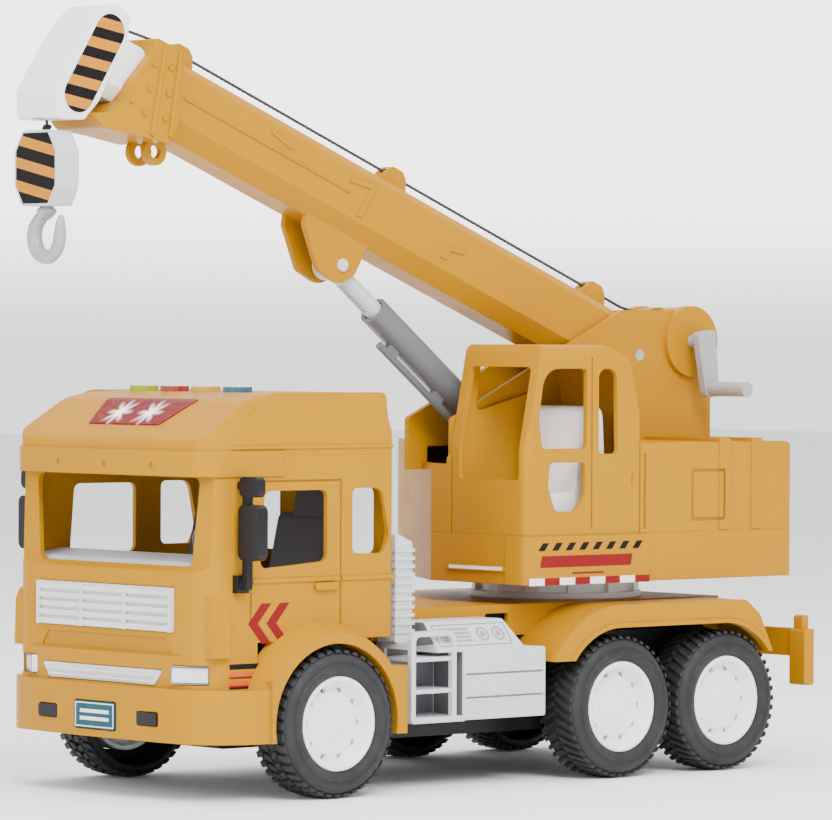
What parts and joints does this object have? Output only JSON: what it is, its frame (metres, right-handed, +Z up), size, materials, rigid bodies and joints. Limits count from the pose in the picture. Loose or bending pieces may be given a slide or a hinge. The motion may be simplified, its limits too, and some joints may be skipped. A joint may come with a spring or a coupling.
{
  "type": "toy crane truck",
  "caption": "Toy mobile crane truck: three-axle carrier with driver's cab, slewing turret, luffing telescopic boom on a strut, hand winch, rope and hook block.",
  "frame": {"origin": "centre of the footprint of the whole truck on the ground, under the middle of its length", "axes": "+X to the front of the truck, +Y to its left side, +Z up"},
  "size_m": [0.3766, 0.155, 0.316],
  "materials": {
    "yellow_plastic": "gloss",
    "black_plastic": "satin",
    "light_grey_plastic": "satin",
    "mid_grey_plastic": "satin",
    "white_plastic": "gloss",
    "tyre_rubber": "matte",
    "steel": "brushed",
    "red_clear": "gloss, clear",
    "lamp_clear": "gloss, clear",
    "plate_teal": "gloss",
    "board_green": "satin",
    "button_green_plastic": "gloss",
    "button_red_plastic": "gloss",
    "button_yellow_plastic": "gloss",
    "button_blue_plastic": "gloss",
    "rope_cord": "braided, matte",
    "gear_plastic": "satin"
  },
  "bodies": {
    "carrier": {"chassis_frame": "black_plastic", "chassis_deck": "yellow_plastic", "rear_bumper": "yellow_plastic", "gearbox_housing": "black_plastic", "gearbox_cover": "black_plastic", "screws": "steel", "cab_shell": "yellow_plastic", "cab_roof": "yellow_plastic", "cab_interior": "light_grey_plastic", "steering_wheel": "mid_grey_plastic", "grilles": "light_grey_plastic", "headlamps": "lamp_clear", "fog_lamps": "black_plastic", "number_plate": "plate_teal", "mirrors": "black_plastic", "air_intakes": "light_grey_plastic", "side_units": "light_grey_plastic", "roof_lamp_lens": "red_clear", "circuit_board": "board_green", "speaker": "mid_grey_plastic", "button_cells": "steel", "slewing_ring": "light_grey_plastic", "turret_retainer": "steel"},
    "front_wheels": {"front_axle": "steel", "front_rims": "white_plastic", "front_tyres": "tyre_rubber"},
    "middle_wheels": {"middle_axle": "steel", "middle_rims": "white_plastic", "middle_tyres": "tyre_rubber", "drive_gear": "gear_plastic"},
    "rear_wheels": {"rear_axle": "steel", "rear_rims": "white_plastic", "rear_tyres": "tyre_rubber"},
    "flywheel": {"flywheel": "steel"},
    "green_button": {"button_green": "button_green_plastic"},
    "red_button": {"button_red": "button_red_plastic"},
    "yellow_button": {"button_yellow": "button_yellow_plastic"},
    "blue_button": {"button_blue": "button_blue_plastic"},
    "superstructure": {"turret_base": "yellow_plastic", "turret_body": "yellow_plastic", "operator_cab": "yellow_plastic", "operator_seat": "light_grey_plastic", "hinge_pins": "steel", "rope_at_winch": "rope_cord"},
    "winch": {"winch_drum": "mid_grey_plastic", "winch_crank": "mid_grey_plastic"},
    "boom": {"boom_outer": "yellow_plastic", "clevis_pin": "light_grey_plastic", "rope_on_boom": "rope_cord"},
    "strut_barrel": {"strut_barrel": "mid_grey_plastic"},
    "strut_rod": {"strut_rod": "light_grey_plastic"},
    "telescope": {"boom_inner": "white_plastic", "boom_head": "white_plastic", "sheave_pin": "steel", "rope_in_head": "rope_cord"},
    "sheave": {"sheave": "mid_grey_plastic"},
    "rope_drop": {"rope_drop": "rope_cord"},
    "hook_block": {"hook_block": "light_grey_plastic", "rope_knot": "rope_cord"},
    "hook": {"hook": "mid_grey_plastic"}
  },
  "joints": [
    {"name": "front_axle_spin", "type": "hinge", "parent": "carrier", "child": "front_wheels", "pos_m": [0.09175, 0, 0.03], "axis": [0, 1, 0], "continuous": true},
    {"name": "middle_axle_spin", "type": "hinge", "parent": "carrier", "child": "middle_wheels", "pos_m": [-0.06445, 0, 0.03], "axis": [0, 1, 0], "continuous": true},
    {"name": "rear_axle_spin", "type": "hinge", "parent": "carrier", "child": "rear_wheels", "pos_m": [-0.12635, 0, 0.03], "axis": [0, 1, 0], "continuous": true},
    {"name": "flywheel_spin", "type": "hinge", "parent": "carrier", "child": "flywheel", "pos_m": [-0.0725, 0, 0.03465], "axis": [0, 1, 0], "continuous": true},
    {"name": "green_button_press", "type": "slide", "parent": "carrier", "child": "green_button", "axis": [0, 0, -1], "range_m": [0, 0.0016], "stiffness_N_per_m": 220, "springref_m": -0.0004},
    {"name": "red_button_press", "type": "slide", "parent": "carrier", "child": "red_button", "axis": [0, 0, -1], "range_m": [0, 0.0016], "stiffness_N_per_m": 220, "springref_m": -0.0004},
    {"name": "yellow_button_press", "type": "slide", "parent": "carrier", "child": "yellow_button", "axis": [0, 0, -1], "range_m": [0, 0.0016], "stiffness_N_per_m": 220, "springref_m": -0.0004},
    {"name": "blue_button_press", "type": "slide", "parent": "carrier", "child": "blue_button", "axis": [0, 0, -1], "range_m": [0, 0.0016], "stiffness_N_per_m": 220, "springref_m": -0.0004},
    {"name": "turret_slew", "type": "hinge", "parent": "carrier", "child": "superstructure", "pos_m": [-0.09545, 0, 0.077], "axis": [0, 0, 1], "continuous": true},
    {"name": "boom_luff", "type": "hinge", "parent": "superstructure", "child": "boom", "pos_m": [-0.13075, 0, 0.177], "axis": [0, -1, 0], "range_deg": [-12, 22]},
    {"name": "strut_tilt", "type": "hinge", "parent": "superstructure", "child": "strut_barrel", "pos_m": [-0.0922, 0, 0.11622], "axis": [0, -1, 0], "range_deg": [-11.2, 20.5]},
    {"name": "strut_extend", "type": "slide", "parent": "strut_barrel", "child": "strut_rod", "axis": [0.7912, 0, 0.6115], "range_m": [-0.0152, 0.0276]},
    {"name": "boom_extend", "type": "slide", "parent": "boom", "child": "telescope", "axis": [0.9272, 0, 0.3746], "range_m": [0, 0.08]},
    {"name": "winch_turn", "type": "hinge", "parent": "superstructure", "child": "winch", "pos_m": [-0.16085, 0, 0.183], "axis": [0, 1, 0], "range_deg": [0, 990]},
    {"name": "sheave_spin", "type": "hinge", "parent": "telescope", "child": "sheave", "pos_m": [0.17724, 0, 0.28094], "axis": [0, 1, 0], "range_deg": [0, 1380]},
    {"name": "rope_plumb", "type": "hinge", "parent": "telescope", "child": "rope_drop", "pos_m": [0.18265, 0, 0.2706], "axis": [0, -1, 0], "range_deg": [-23, 13]},
    {"name": "hoist", "type": "slide", "parent": "rope_drop", "child": "hook_block", "axis": [0, 0, -1], "range_m": [0, 0.131]},
    {"name": "hook_swivel", "type": "hinge", "parent": "hook_block", "child": "hook", "pos_m": [0.18265, 0, 0.236], "axis": [0, 0, 1], "continuous": true}
  ],
  "couplings": [
    {"joint": "flywheel_spin", "follows": "middle_axle_spin", "ratio": -2.5},
    {"joint": "strut_tilt", "follows": "boom_luff", "ratio": 0.925},
    {"joint": "strut_extend", "follows": "boom_luff", "m_per_rad": 0.07105},
    {"joint": "rope_plumb", "follows": "boom_luff", "ratio": -1},
    {"joint": "sheave_spin", "follows": "winch_turn", "ratio": 1.3889},
    {"joint": "hoist", "follows": "winch_turn", "m_per_rad": 0.0075}
  ]
}
